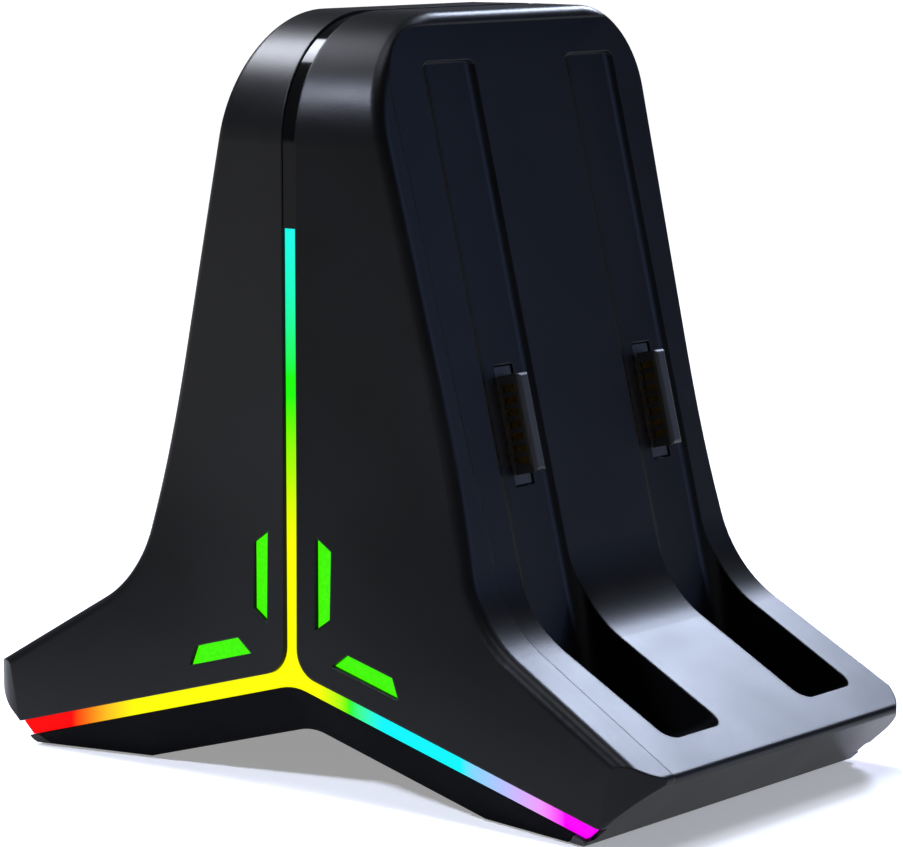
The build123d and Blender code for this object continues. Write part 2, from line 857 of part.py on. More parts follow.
with BuildPart() as indicator_lamps:
    lens_mid = strip_width / 2 + lens_gap + lens_width / 2
    low_mid = shifted((0, strip_height), (cos(slope), -sin(slope)), lower_along)
    low_mid = shifted(low_mid, (sin(slope), cos(slope)), lens_mid)
    with BuildSketch(front_plane(lamp_gap)):
        with Locations(
            *[(side * x, z) for side in (1, -1) for x, z in ((lens_mid, upper_height), low_mid)]
        ):
            Rectangle(lamp_size, lamp_size)
    extrude(amount=lamp_height)

# Main board with its chips
with BuildPart() as main_board:
    with Locations((0, main_front, main_height)):
        Box(
            main_width,
            main_back - main_front,
            main_thick,
            align=(Align.CENTER, Align.MIN, Align.MIN),
        )
    with Locations(*[(x, y, main_height) for x, y in pillar_spots]):
        Cylinder(
            small_shank_diameter / 2 + shank_gap,
            3 * main_thick,
            mode=Mode.SUBTRACT,
        )
main_top = main_height + main_thick
main_mid = (main_front + main_back) / 2
with BuildPart() as control_chip:
    with Locations((0, main_mid, main_top)):
        Box(chip_size, chip_size, chip_height, align=(Align.CENTER, Align.CENTER, Align.MIN))
with BuildPart() as charge_chips:
    with Locations((0, main_mid, main_top)):
        with GridLocations(2 * small_chip_x, 2 * small_chip_y, 2, 2):
            Box(small_chip, small_chip, chip_height, align=(Align.CENTER, Align.CENTER, Align.MIN))

# Contact boards behind the side walls, with the charging tongues of both bays
board_low_y = front_bay_y - connector_width / 2 - contact_board_margin
board_high_y = rear_bay_y + connector_width / 2 + contact_board_margin
with BuildPart() as right_contact_board:
    with BuildSketch(wall_plane(contact_inset, mid_bay_y)):
        with Locations(((board_low_y + board_high_y) / 2 - mid_bay_y, 0)):
            Rectangle(board_high_y - board_low_y, contact_board_rise)
        with Locations(*side_posts):
            Circle(small_shank_diameter / 2 + shank_gap, mode=Mode.SUBTRACT)
    extrude(amount=-contact_board_thick)
with BuildPart() as left_contact_board:
    add(mirror(right_contact_board.part, about=Plane.YZ))


def charging_tongue(bay_y):
    """Charging tongue of a right bay: a block on the contact board, a neck through the wall and a blade."""
    with BuildPart() as tongue:
        with BuildSketch(wall_plane(contact_inset, bay_y)):
            Rectangle(connector_width, connector_length)
        extrude(amount=contact_inset - side_wall)
        with BuildSketch(wall_plane(side_wall, bay_y)):
            Rectangle(neck_width, neck_length)
        extrude(amount=side_wall - bay_inset - neck_sink)
        with BuildSketch(wall_plane(bay_inset + neck_sink, bay_y)):
            Rectangle(blade_width, blade_length)
        extrude(amount=blade_reach + neck_sink)
        blade_end = tongue.faces().sort_by(Axis((0, 0, 0), (side_out[0], 0, side_out[1])))[-1]
        fillet(blade_end.edges(), blade_round)
    return tongue.part


def contact_pads(bay_y):
    """Row of contact pads on the front face of a right charging tongue."""
    face_y = bay_y - blade_width / 2
    x, z = shifted(side_point(0, contact_height), side_out, -bay_inset)
    face = Plane(origin=(x, face_y, z), x_dir=(side_out[0], 0, side_out[1]), z_dir=(0, -1, 0))
    with BuildPart() as pads:
        with BuildSketch(face):
            with Locations((pad_length / 2, 0)):
                with GridLocations(0, pad_pitch, 1, pad_count):
                    Rectangle(pad_length, pad_width)
        extrude(amount=pad_thick)
    return pads.part


with BuildPart() as right_front_tongue:
    add(charging_tongue(front_bay_y))
with BuildPart() as right_rear_tongue:
    add(charging_tongue(rear_bay_y))
with BuildPart() as left_front_tongue:
    add(mirror(right_front_tongue.part, about=Plane.YZ))
with BuildPart() as left_rear_tongue:
    add(mirror(right_rear_tongue.part, about=Plane.YZ))
with BuildPart() as right_front_contacts:
    add(contact_pads(front_bay_y))
with BuildPart() as right_rear_contacts:
    add(contact_pads(rear_bay_y))
with BuildPart() as left_front_contacts:
    add(mirror(right_front_contacts.part, about=Plane.YZ))
with BuildPart() as left_rear_contacts:
    add(mirror(right_rear_contacts.part, about=Plane.YZ))

# Magnets against the inside of the side walls
with BuildPart() as right_magnets:
    with BuildSketch(wall_plane(side_wall, 0)):
        with Locations((mid_bay_y, (magnet_low + magnet_high) / 2)):
            with GridLocations(rear_bay_y - front_bay_y, magnet_high - magnet_low, 2, 2):
                Rectangle(magnet_width, magnet_length)
    extrude(amount=-magnet_thick)
with BuildPart() as left_magnets:
    add(mirror(right_magnets.part, about=Plane.YZ))

# Ribbon cables from the main board to the other boards
ribbon_z = main_top + ribbon_thick / 2
with BuildPart() as right_ribbon:
    ribbon_inset = contact_inset + contact_board_thick + ribbon_thick / 2
    ribbon_foot = side_point(ribbon_inset, ribbon_z)
    ribbon_end = shifted(side_point(0, contact_height), side_out, -ribbon_inset)
    ribbon_end = shifted(ribbon_end, side_down, contact_board_rise / 2 - ribbon_lap)
    with BuildSketch(Plane.XZ.offset(-mid_bay_y)):
        with BuildLine():
            FilletPolyline(
                (main_width / 2 - ribbon_lap, ribbon_z),
                ribbon_foot,
                ribbon_end,
                radius=ribbon_bend,
            )
        trace(line_width=ribbon_thick)
    extrude(amount=ribbon_width / 2, both=True)
with BuildPart() as left_ribbon:
    add(mirror(right_ribbon.part, about=Plane.YZ))
board_back = half_depth - lamp_gap - board_thick
with BuildPart() as front_ribbon:
    with BuildSketch(Plane.YZ):
        with BuildLine():
            FilletPolyline(
                (main_front + ribbon_lap, ribbon_z),
                (ribbon_thick / 2 - board_back, ribbon_z),
                (ribbon_thick / 2 - board_back, ribbon_z + ribbon_rise),
                radius=ribbon_small_bend,
            )
        trace(line_width=ribbon_thick)
    extrude(amount=ribbon_width / 2, both=True)
with BuildPart() as rear_ribbon:
    with BuildSketch(Plane.YZ):
        with BuildLine():
            FilletPolyline(
                (main_back - ribbon_lap, ribbon_z),
                (board_back - ribbon_thick / 2, ribbon_z),
                (board_back - ribbon_thick / 2, ribbon_z + ribbon_rise),
                radius=ribbon_small_bend,
            )
        trace(line_width=ribbon_thick)
    extrude(amount=ribbon_width / 2, both=True)


def rubber_foot(x, y):
    """Rubber pad set into the underside of the base."""
    with BuildPart() as foot:
        with BuildSketch(Plane((x, y, 0))):
            SlotOverall(foot_length, foot_width, rotation=90)
        extrude(amount=foot_proud + foot_sink)
    return foot.part


with BuildPart() as right_front_foot:
    add(rubber_foot(foot_x, -foot_y))
with BuildPart() as right_rear_foot:
    add(rubber_foot(foot_x, foot_y))
with BuildPart() as left_front_foot:
    add(rubber_foot(-foot_x, -foot_y))
with BuildPart() as left_rear_foot:
    add(rubber_foot(-foot_x, foot_y))

# Screws
with BuildPart() as base_screws:
    with Locations(*[(x, y, foot_proud + head_sink) for x, y in pan_screw_spots]):
        Cylinder(head_diameter / 2, head_height, align=(Align.CENTER, Align.CENTER, Align.MAX))
        Cylinder(
            shank_diameter / 2,
            shank_length,
            align=(Align.CENTER, Align.CENTER, Align.MIN),
        )
with BuildPart() as main_board_screws:
    with Locations(*[(x, y, main_top) for x, y in pillar_spots]):
        Cylinder(
            small_head_diameter / 2,
            small_head_height,
            align=(Align.CENTER, Align.CENTER, Align.MIN),
        )
        Cylinder(
            small_shank_diameter / 2,
            main_thick + small_shank_length - shank_gap,
            align=(Align.CENTER, Align.CENTER, Align.MAX),
        )
with BuildPart() as light_board_screws:
    for side in (1, -1):
        with BuildSketch(Plane.XZ.offset(side * board_back)):
            with Locations(*light_posts):
                Circle(small_head_diameter / 2)
        extrude(amount=-side * small_head_height)
        with BuildSketch(Plane.XZ.offset(side * board_back)):
            with Locations(*light_posts):
                Circle(small_shank_diameter / 2)
        extrude(amount=side * (board_thick + small_shank_length - shank_gap))
with BuildPart() as right_contact_screws:
    for size, run in (
        (small_head_diameter, -small_head_height),
        (small_shank_diameter, contact_board_thick + small_shank_length - shank_gap),
    ):
        with BuildSketch(wall_plane(contact_inset + contact_board_thick, mid_bay_y)):
            with Locations(*side_posts):
                Circle(size / 2)
        extrude(amount=run)
with BuildPart() as left_contact_screws:
    add(mirror(right_contact_screws.part, about=Plane.YZ))

pieces = {
    "right_shell": right_shell,
    "left_shell": left_shell,
    "base_pan": base_pan,
    "front_light_guide": front_light_guide,
    "rear_light_guide": rear_light_guide,
    "top_trim": top_trim,
    "right_upper_lens": right_upper_lens,
    "right_lower_lens": right_lower_lens,
    "left_upper_lens": left_upper_lens,
    "left_lower_lens": left_lower_lens,
    "front_light_board": front_light_board,
    "rear_light_board": rear_light_board,
    "front_lamps": front_lamps,
    "rear_lamps": rear_lamps,
    "indicator_lamps": indicator_lamps,
    "main_board": main_board,
    "control_chip": control_chip,
    "charge_chips": charge_chips,
    "power_socket_shell": power_socket_shell,
    "power_socket_tongue": power_socket_tongue,
    "right_contact_board": right_contact_board,
    "left_contact_board": left_contact_board,
    "right_front_tongue": right_front_tongue,
    "right_rear_tongue": right_rear_tongue,
    "left_front_tongue": left_front_tongue,
    "left_rear_tongue": left_rear_tongue,
    "right_front_contacts": right_front_contacts,
    "right_rear_contacts": right_rear_contacts,
    "left_front_contacts": left_front_contacts,
    "left_rear_contacts": left_rear_contacts,
    "right_magnets": right_magnets,
    "left_magnets": left_magnets,
    "right_ribbon": right_ribbon,
    "left_ribbon": left_ribbon,
    "front_ribbon": front_ribbon,
    "rear_ribbon": rear_ribbon,
    "right_front_foot": right_front_foot,
    "right_rear_foot": right_rear_foot,
    "left_front_foot": left_front_foot,
    "left_rear_foot": left_rear_foot,
    "base_screws": base_screws,
    "main_board_screws": main_board_screws,
    "light_board_screws": light_board_screws,
    "right_contact_screws": right_contact_screws,
    "left_contact_screws": left_contact_screws,
}
os.makedirs("parts", exist_ok=True)
for name, piece in pieces.items():
    piece.part.label = name
    export_step(piece.part, f"parts/{name}.step")
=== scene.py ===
"""Looks of a charging dock with four bays: satin black shells, lit strips and the parts inside.

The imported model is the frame. Each of its nodes keeps its shape and place and gets a finish here,
and the script adds the table, the light and the camera. Sizes are in millimetres unless a name says
otherwise.
"""

import json
import logging
from dataclasses import dataclass, field
from enum import Enum
from math import cos, radians, sin
from typing import Any, Mapping, Protocol, Sequence

import bpy
import numpy as np
from mathutils import Matrix, Vector

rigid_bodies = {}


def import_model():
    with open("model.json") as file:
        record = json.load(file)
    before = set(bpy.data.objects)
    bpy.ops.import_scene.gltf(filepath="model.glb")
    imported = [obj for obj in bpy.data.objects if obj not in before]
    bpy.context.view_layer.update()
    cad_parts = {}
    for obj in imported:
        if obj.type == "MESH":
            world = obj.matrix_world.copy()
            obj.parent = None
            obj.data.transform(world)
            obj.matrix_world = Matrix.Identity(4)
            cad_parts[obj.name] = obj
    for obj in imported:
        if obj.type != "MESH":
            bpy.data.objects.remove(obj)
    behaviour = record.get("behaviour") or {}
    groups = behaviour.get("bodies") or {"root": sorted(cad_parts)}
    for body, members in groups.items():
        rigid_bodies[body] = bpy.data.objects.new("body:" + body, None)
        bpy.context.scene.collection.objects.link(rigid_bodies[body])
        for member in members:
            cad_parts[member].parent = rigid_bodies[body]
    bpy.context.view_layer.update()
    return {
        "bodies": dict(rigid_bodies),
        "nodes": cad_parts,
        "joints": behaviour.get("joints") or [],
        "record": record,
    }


LOG = logging.getLogger("dock")
MM = 0.001
SRGB_KNEE = 0.04045
SRGB_SLOPE = 12.92
SRGB_OFFSET = 0.055
SRGB_POWER = 2.4
NOISE_LOW = 0.3
NOISE_HIGH = 0.7

Colour = tuple[float, float, float, float]
Stops = Sequence[tuple[float, str]]


def linear(code: str) -> Colour:
    """Turns an sRGB hex code into a linear colour.

    Args:
        code: Six hex digits after a hash sign.

    Returns:
        Linear red, green and blue, with full opacity.
    """
    channels = np.array([int(code[i : i + 2], 16) for i in (1, 3, 5)]) / 255
    low = channels / SRGB_SLOPE
    high = ((channels + SRGB_OFFSET) / (1 + SRGB_OFFSET)) ** SRGB_POWER
    red, green, blue = np.where(channels <= SRGB_KNEE, low, high)
    return (float(red), float(green), float(blue), 1.0)


def per_metre(size: float) -> float:
    """Scale of a texture whose features are a size in millimetres."""
    return 1 / (size * MM)


def add_node(
    tree: bpy.types.NodeTree,
    kind: str,
    values: Mapping[Any, Any] | None = None,
    links: Mapping[Any, bpy.types.NodeSocket] | None = None,
    **settings: Any,
) -> bpy.types.Node:
    """Adds one node with its settings, values and links.

    Args:
        tree: Node tree that takes the node.
        kind: Type name of the node.
        values: Values of its input sockets, by socket name or number.
        links: Sockets that feed its inputs, by socket name or number.
        settings: Properties of the node, such as its operation.

    Returns:
        The new node.
    """
    node = tree.nodes.new(kind)
    for name, setting in settings.items():
        setattr(node, name, setting)
    for key, value in (values or {}).items():
        node.inputs[key].default_value = value
    for key, socket in (links or {}).items():
        tree.links.new(socket, node.inputs[key])
    return node


def set_ramp(node: bpy.types.Node, stops: Stops) -> None:
    """Puts colour stops on a ramp node.

    Args:
        node: Colour ramp node with its two first stops.
        stops: Positions from 0 to 1 with their hex colours, in rising order.
    """
    elements = node.color_ramp.elements
    for _ in range(len(stops) - len(elements)):
        elements.new(0.5)
    for element, (position, code) in zip(elements, stops):
        element.position = position
        element.color = linear(code)


def noise_stops(dark: str, light: str) -> Stops:
    """Stops that spread two colours over the range in which most values of a noise lie."""
    return ((NOISE_LOW, dark), (NOISE_HIGH, light))


def start_material(
    name: str, values: Mapping[str, Any]
) -> tuple[bpy.types.Material, bpy.types.NodeTree, bpy.types.Node]:
    """Starts a material with constants on its shader.

    Args:
        name: Name of the material.
        values: Values of the shader's own sockets, by socket name.

    Returns:
        The material, its node tree and its shader.
    """
    made = bpy.data.materials.new(name)
    made.use_nodes = True
    shader = made.node_tree.nodes["Principled BSDF"]
    for key, value in values.items():
        shader.inputs[key].default_value = value
    return made, made.node_tree, shader


class Finish(Protocol):
    """Anything that can make a material."""

    name: str

    def material(self) -> bpy.types.Material:
        """Makes the material."""


@dataclass(frozen=True)
class MouldedAbs:
    """ABS from an eroded mould: a fine even grain that breaks reflections into a satin sheen."""

    name: str
    dark: str
    light: str
    roughness: float
    specular: float
    grain: float
    grain_depth: float
    edge_round: float
    ior: float = 1.53
    patch: float = 14.0
    patch_detail: float = 3.0
    grain_detail: float = 2.0
    grain_fade: float = 0.6
    edge_samples: int = 6
    roughness_spread: float = 0.05

    def material(self) -> bpy.types.Material:
        """Makes the material.

        Returns:
            Plastic whose colour and roughness drift a little, with grain and softened edges.
        """
        made, tree, shader = start_material(
            self.name,
            {
                "IOR": self.ior,
                "Specular IOR Level": self.specular,
            },
        )
        place = add_node(tree, "ShaderNodeTexCoord").outputs["Object"]
        drift = add_node(
            tree,
            "ShaderNodeTexNoise",
            {"Scale": per_metre(self.patch), "Detail": self.patch_detail},
            {"Vector": place},
        )
        ramp = add_node(tree, "ShaderNodeValToRGB", links={"Fac": drift.outputs["Fac"]})
        set_ramp(ramp, noise_stops(self.dark, self.light))
        gloss = add_node(
            tree,
            "ShaderNodeMapRange",
            {3: self.roughness - self.roughness_spread, 4: self.roughness + self.roughness_spread},
            {0: drift.outputs["Fac"]},
        )
        grain = add_node(
            tree,
            "ShaderNodeTexNoise",
            {
                "Scale": per_metre(self.grain),
                "Detail": self.grain_detail,
                "Roughness": self.grain_fade,
            },
            {"Vector": place},
        )
        edge = add_node(
            tree,
            "ShaderNodeBevel",
            {"Radius": self.edge_round * MM},
            samples=self.edge_samples,
        )
        bump = add_node(
            tree,
            "ShaderNodeBump",
            {"Strength": 1.0, "Distance": self.grain_depth * MM},
            {"Height": grain.outputs["Fac"], "Normal": edge.outputs["Normal"]},
        )
        tree.links.new(ramp.outputs["Color"], shader.inputs["Base Color"])
        tree.links.new(gloss.outputs["Result"], shader.inputs["Roughness"])
        tree.links.new(bump.outputs["Normal"], shader.inputs["Normal"])
        return made


@dataclass(frozen=True)
class PolishedAbs:
    """ABS from a polished mould: nearly a mirror, with faint long waves in its gloss."""

    name: str
    dark: str
    light: str
    roughness: float
    specular: float
    wave: float
    wave_depth: float
    ior: float = 1.53
    wave_detail: float = 1.0

    def material(self) -> bpy.types.Material:
        """Makes the material.

        Returns:
            Glossy plastic with slow waves in its reflections.
        """
        made, tree, shader = start_material(
            self.name,
            {
                "IOR": self.ior,
                "Specular IOR Level": self.specular,
                "Roughness": self.roughness,
            },
        )
        place = add_node(tree, "ShaderNodeTexCoord").outputs["Object"]
        wave = add_node(
            tree,
            "ShaderNodeTexNoise",
            {"Scale": per_metre(self.wave), "Detail": self.wave_detail},
            {"Vector": place},
        )
        ramp = add_node(tree, "ShaderNodeValToRGB", links={"Fac": wave.outputs["Fac"]})
        set_ramp(ramp, noise_stops(self.dark, self.light))
        bump = add_node(
            tree,
            "ShaderNodeBump",
            {"Strength": 1.0, "Distance": self.wave_depth * MM},
            {"Height": wave.outputs["Fac"]},
        )
        tree.links.new(ramp.outputs["Color"], shader.inputs["Base Color"])
        tree.links.new(bump.outputs["Normal"], shader.inputs["Normal"])
        return made


@dataclass(frozen=True)
class LitAcrylic:
    """Acrylic light guide, lit from behind: a clean glow whose hue runs along its legs."""

    name: str
    stem_stops: Stops
    leg_stops: Stops
    stem_top: float
    leg_end: float
    stem_half: float
    strength: float
    ior: float = 1.49
    roughness: float = 0.35
    specular: float = 0.02
    body: str = "#020202"

    def material(self) -> bpy.types.Material:
        """Makes the material.

        Returns:
            Glowing plastic: height picks the colour on the upright, sideways place on the legs.
        """
        made, tree, shader = start_material(
            self.name,
            {
                "Base Color": linear(self.body),
                "IOR": self.ior,
                "Specular IOR Level": self.specular,
                "Roughness": self.roughness,
                "Emission Strength": self.strength,
            },
        )
        place = add_node(tree, "ShaderNodeTexCoord").outputs["Object"]
        split = add_node(tree, "ShaderNodeSeparateXYZ", links={0: place})
        rise = add_node(
            tree,
            "ShaderNodeMapRange",
            {1: 0.0, 2: self.stem_top * MM},
            {0: split.outputs["Z"]},
        )
        run = add_node(
            tree,
            "ShaderNodeMapRange",
            {1: -self.leg_end * MM, 2: self.leg_end * MM},
            {0: split.outputs["X"]},
        )
        stem = add_node(tree, "ShaderNodeValToRGB", links={"Fac": rise.outputs["Result"]})
        set_ramp(stem, [(z / self.stem_top, code) for z, code in self.stem_stops])
        legs = add_node(tree, "ShaderNodeValToRGB", links={"Fac": run.outputs["Result"]})
        set_ramp(legs, [(x / self.leg_end / 2 + 0.5, code) for x, code in self.leg_stops])
        aside = add_node(
            tree,
            "ShaderNodeMath",
            links={0: split.outputs["X"]},
            operation="ABSOLUTE",
        )
        on_leg = add_node(
            tree,
            "ShaderNodeMath",
            {1: self.stem_half * MM},
            {0: aside.outputs[0]},
            operation="GREATER_THAN",
        )
        glow = add_node(
            tree,
            "ShaderNodeMix",
            links={
                "Factor": on_leg.outputs[0],
                6: stem.outputs["Color"],
                7: legs.outputs["Color"],
            },
            data_type="RGBA",
        )
        tree.links.new(glow.outputs[2], shader.inputs["Emission Color"])
        return made


@dataclass(frozen=True)
class LitLens:
    """Frosted polycarbonate window, lit from behind: an even glow with a fine frost in it."""

    name: str
    body: str
    dim: str
    bright: str
    strength: float
    frost: float
    roughness: float
    ior: float = 1.58
    frost_detail: float = 2.0
    specular: float = 0.02

    def material(self) -> bpy.types.Material:
        """Makes the material.

        Returns:
            Glowing plastic with a slight frost.
        """
        made, tree, shader = start_material(
            self.name,
            {
                "Base Color": linear(self.body),
                "IOR": self.ior,
                "Specular IOR Level": self.specular,
                "Roughness": self.roughness,
                "Emission Strength": self.strength,
            },
        )
        place = add_node(tree, "ShaderNodeTexCoord").outputs["Object"]
        frost = add_node(
            tree,
            "ShaderNodeTexNoise",
            {"Scale": per_metre(self.frost), "Detail": self.frost_detail},
            {"Vector": place},
        )
        ramp = add_node(tree, "ShaderNodeValToRGB", links={"Fac": frost.outputs["Fac"]})
        set_ramp(ramp, noise_stops(self.dim, self.bright))
        tree.links.new(ramp.outputs["Color"], shader.inputs["Emission Color"])
        return made


@dataclass(frozen=True)
class SolderMask:
    """Glass-epoxy board under green solder mask: copper tracks show as paler raised lines."""

    name: str
    mask: str
    track: str
    pitch: float
    patch: float = 6.0
    ior: float = 1.55
    roughness: float = 0.35
    mask_level: float = 0.36
    track_level: float = 0.42
    track_depth: float = 0.03
    track_relief: float = 0.5

    def material(self) -> bpy.types.Material:
        """Makes the material.

        Returns:
            Semi-gloss green with straight tracks that come and go in patches.
        """
        made, tree, shader = start_material(
            self.name,
            {
                "IOR": self.ior,
                "Roughness": self.roughness,
            },
        )
        place = add_node(tree, "ShaderNodeTexCoord").outputs["Object"]
        lines = add_node(
            tree,
            "ShaderNodeTexWave",
            {"Scale": per_metre(self.pitch) / (2 * np.pi), "Distortion": 0.0},
            {"Vector": place},
            bands_direction="DIAGONAL",
        )
        patches = add_node(
            tree,
            "ShaderNodeTexNoise",
            {"Scale": per_metre(self.patch), "Detail": 0.0},
            {"Vector": place},
        )
        both = add_node(
            tree,
            "ShaderNodeMath",
            links={0: lines.outputs["Fac"], 1: patches.outputs["Fac"]},
            operation="MULTIPLY",
        )
        ramp = add_node(tree, "ShaderNodeValToRGB", links={"Fac": both.outputs[0]})
        set_ramp(ramp, [(self.mask_level, self.mask), (self.track_level, self.track)])
        bump = add_node(
            tree,
            "ShaderNodeBump",
            {"Strength": self.track_relief, "Distance": self.track_depth * MM},
            {"Height": ramp.outputs["Color"]},
        )
        tree.links.new(ramp.outputs["Color"], shader.inputs["Base Color"])
        tree.links.new(bump.outputs["Normal"], shader.inputs["Normal"])
        return made


@dataclass(frozen=True)
class PlatedMetal:
    """Plated metal, barrel finished: bright, with fine random scuffs that vary its gloss."""

    name: str
    dark: str
    light: str
    roughness: float
    scuff: float
    scuff_detail: float = 4.0
    roughness_spread: float = 0.08

    def material(self) -> bpy.types.Material:
        """Makes the material.

        Returns:
            Metal whose colour and roughness vary with the scuffs.
        """
        made, tree, shader = start_material(
            self.name,
            {
                "Metallic": 1.0,
            },
        )
        place = add_node(tree, "ShaderNodeTexCoord").outputs["Object"]
        scuff = add_node(
            tree,
            "ShaderNodeTexNoise",
            {"Scale": per_metre(self.scuff), "Detail": self.scuff_detail},
            {"Vector": place},
        )
        ramp = add_node(tree, "ShaderNodeValToRGB", links={"Fac": scuff.outputs["Fac"]})
        set_ramp(ramp, noise_stops(self.dark, self.light))
        gloss = add_node(
            tree,
            "ShaderNodeMapRange",
            {3: self.roughness - self.roughness_spread, 4: self.roughness + self.roughness_spread},
            {0: scuff.outputs["Fac"]},
        )
        tree.links.new(ramp.outputs["Color"], shader.inputs["Base Color"])
        tree.links.new(gloss.outputs["Result"], shader.inputs["Roughness"])
        return made


class Across(Enum):
    """Axis across the width of a ribbon cable."""

    X = "X"
    Y = "Y"


@dataclass(frozen=True)
class PolyesterFilm:
    """White polyester ribbon over tinned conductors: grey stripes side by side along it."""

    name: str
    film: str
    conductor: str
    pitch: float
    across: Across
    ior: float = 1.57
    roughness: float = 0.3
    film_level: float = 0.5
    conductor_level: float = 0.7

    def material(self) -> bpy.types.Material:
        """Makes the material.

        Returns:
            Pale film with one stripe for each conductor.
        """
        made, tree, shader = start_material(
            self.name,
            {
                "IOR": self.ior,
                "Roughness": self.roughness,
            },
        )
        place = add_node(tree, "ShaderNodeTexCoord").outputs["Object"]
        stripes = add_node(
            tree,
            "ShaderNodeTexWave",
            {"Scale": per_metre(self.pitch) / (2 * np.pi), "Distortion": 0.0},
            {"Vector": place},
            bands_direction=self.across.value,
        )
        ramp = add_node(tree, "ShaderNodeValToRGB", links={"Fac": stripes.outputs["Fac"]})
        set_ramp(
            ramp, [(self.film_level, self.film), (self.conductor_level, self.conductor)]
        )
        tree.links.new(ramp.outputs["Color"], shader.inputs["Base Color"])
        return made


@dataclass(frozen=True)
class Dressing:
    """CAD nodes that share a finish."""

    nodes: tuple[str, ...]
    finish: Finish

    def dress(self, frame: Mapping[str, Any]) -> None:
        """Gives the finish to each node.

        Args:
            frame: Loaded frame.
        """
        made = self.finish.material()
        for name in self.nodes:
            mesh = frame["nodes"][name].data
            mesh.materials.clear()
            mesh.materials.append(made)
            LOG.info("dressed %s in %s", name, self.finish.name)


BOARD = SolderMask("solder_mask_board", mask="#0E4A2A", track="#2C7A4C", pitch=1.3)
SCREW = PlatedMetal("black_zinc_screw", dark="#4A4A4C", light="#6E6E70", roughness=0.38, scuff=0.8)


@dataclass
class Tower:
    """Left and right shell with the gloss trim between them."""

    grain: float = 0.42
    grain_depth: float = 0.012
    edge_round: float = 0.5
    trim_wave: float = 9.0
    trim_wave_depth: float = 0.01

    def parts(self) -> list[Dressing]:
        """Shells and trim with their finishes."""
        shell = MouldedAbs(
            "satin_black_abs",
            dark="#040404",
            light="#070708",
            roughness=0.36,
            specular=0.1,
            grain=self.grain,
            grain_depth=self.grain_depth,
            edge_round=self.edge_round,
        )
        trim = PolishedAbs(
            "polished_black_abs",
            dark="#050505",
            light="#070707",
            roughness=0.08,
            specular=0.1,
            wave=self.trim_wave,
            wave_depth=self.trim_wave_depth,
        )
        return [
            Dressing(("right_shell", "left_shell"), shell),
            Dressing(("top_trim",), trim),
        ]


@dataclass
class LightStrips:
    """Light guides at front and back, the charge indicators, and the boards and lamps behind."""

    lit_height: float = 93.9
    leg_end: float = 72.0
    stem_half: float = 1.6
    glow: float = 1.0
    lamp_glow: float = 0.3
    lens_frost: float = 0.6
    lamp_frost: float = 0.4
    stem_stops: Stops = (
        (41.8, "#FFFF00"),
        (46.9, "#E8FF00"),
        (54.2, "#B0FF00"),
        (62.4, "#60FF00"),
        (66.5, "#20FF10"),
        (69.6, "#20FF10"),
        (75.8, "#22FF80"),
        (83.0, "#20FFC0"),
        (93.9, "#1EFFF0"),
    )
    leg_stops: Stops = (
        (-50.5, "#FF0000"),
        (-48.5, "#FF5808"),
        (-46.4, "#FF8010"),
        (-42.3, "#FFC020"),
        (-36.0, "#FFFF00"),
        (5.2, "#FFFF00"),
        (9.8, "#B0FF10"),
        (12.0, "#30FF10"),
        (13.9, "#40FF90"),
        (19.0, "#10F8FF"),
        (35.0, "#10F8FF"),
        (37.2, "#80D8FF"),
        (44.4, "#C0C0FF"),
        (50.6, "#F0A0FF"),
        (53.7, "#FF60FF"),
        (55.7, "#FF00FF"),
    )

    def parts(self) -> list[Dressing]:
        """Guides, lenses, boards and lamps with their finishes."""
        guide = LitAcrylic(
            "lit_acrylic",
            stem_stops=self.stem_stops,
            leg_stops=self.leg_stops,
            stem_top=self.lit_height,
            leg_end=self.leg_end,
            stem_half=self.stem_half,
            strength=self.glow,
        )
        lens = LitLens(
            "lit_polycarbonate",
            body="#030601",
            dim="#40F400",
            bright="#48FF00",
            strength=self.glow,
            frost=self.lens_frost,
            roughness=0.3,
        )
        lamp = LitLens(
            "lamp_ceramic",
            body="#E8E6DC",
            dim="#FFF2C8",
            bright="#FFFBE8",
            strength=self.lamp_glow,
            frost=self.lamp_frost,
            roughness=0.45,
        )
        lenses = ("right_upper_lens", "right_lower_lens", "left_upper_lens", "left_lower_lens")
        return [
            Dressing(("front_light_guide", "rear_light_guide"), guide),
            Dressing(lenses, lens),
            Dressing(("front_light_board", "rear_light_board"), BOARD),
            Dressing(("front_lamps", "rear_lamps", "indicator_lamps"), lamp),
            Dressing(("light_board_screws",), SCREW),
        ]


@dataclass
class Base:
    """Base pan with its rubber feet and screws."""

    pan_grain: float = 0.5
    pan_grain_depth: float = 0.006
    pan_edge: float = 0.3
    foot_grain: float = 0.5
    foot_grain_depth: float = 0.05
    foot_edge: float = 0.4

    def parts(self) -> list[Dressing]:
        """Pan, feet and screws with their finishes."""
        pan = MouldedAbs(
            "black_base_abs",
            dark="#101011",
            light="#141415",
            roughness=0.5,
            specular=0.0,
            grain=self.pan_grain,
            grain_depth=self.pan_grain_depth,
            edge_round=self.pan_edge,
        )
        rubber = MouldedAbs(
            "black_tpe_rubber",
            dark="#141414",
            light="#1C1C1C",
            roughness=0.85,
            specular=0.3,
            grain=self.foot_grain,
            grain_depth=self.foot_grain_depth,
            edge_round=self.foot_edge,
        )
        feet = ("right_front_foot", "right_rear_foot", "left_front_foot", "left_rear_foot")
        return [
            Dressing(("base_pan",), pan),
            Dressing(feet, rubber),
            Dressing(("base_screws",), SCREW),
        ]


